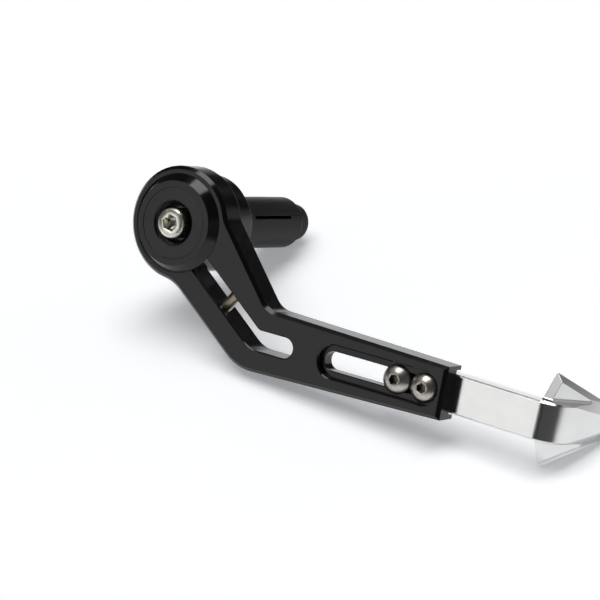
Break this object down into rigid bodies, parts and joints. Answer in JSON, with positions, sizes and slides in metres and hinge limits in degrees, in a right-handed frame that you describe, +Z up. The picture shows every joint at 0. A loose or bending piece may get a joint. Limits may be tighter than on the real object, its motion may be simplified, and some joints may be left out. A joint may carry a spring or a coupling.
{
  "type": "brake lever guard",
  "caption": "Black cranked arm clamped to a handlebar end plug, with a bent silver strap that slides in its slot and ends in an arrow point, for guarding a brake lever.",
  "frame": {"origin": "centre of the seat that the handlebar's end rests against, on the plug's axis", "axes": "+Y along the plug into the handlebar, +X along the arm's second leg towards the tip, +Z up in the arm's plane"},
  "size_m": [0.1696, 0.0775, 0.0649],
  "materials": {
    "black_anodised": "satin black anodised, machined",
    "ring_black": "satin black anodised, turned",
    "plug_black": "matt black",
    "screw_plated": "yellow zinc plated",
    "tip_silver": "satin silver anodised",
    "stainless": "polished stainless"
  },
  "bodies": {
    "bar_end": {"bar_end_body": "black_anodised", "face_ring": "ring_black", "centre_screw": "stainless", "expander_sleeve": "plug_black", "cone_nut": "plug_black"},
    "guard_arm": {"arm": "black_anodised", "pinch_screw": "screw_plated"},
    "guard_tip": {"tip": "tip_silver", "tip_screw_front": "stainless", "tip_screw_rear": "stainless"}
  },
  "joints": [
    {"name": "arm_swivel", "type": "hinge", "parent": "bar_end", "child": "guard_arm", "pos_m": [0, 0, 0], "axis": [0, 1, 0], "continuous": true},
    {"name": "tip_slide", "type": "slide", "parent": "guard_arm", "child": "guard_tip", "axis": [1, 0, 0], "range_m": [-0.023, 0]}
  ]
}
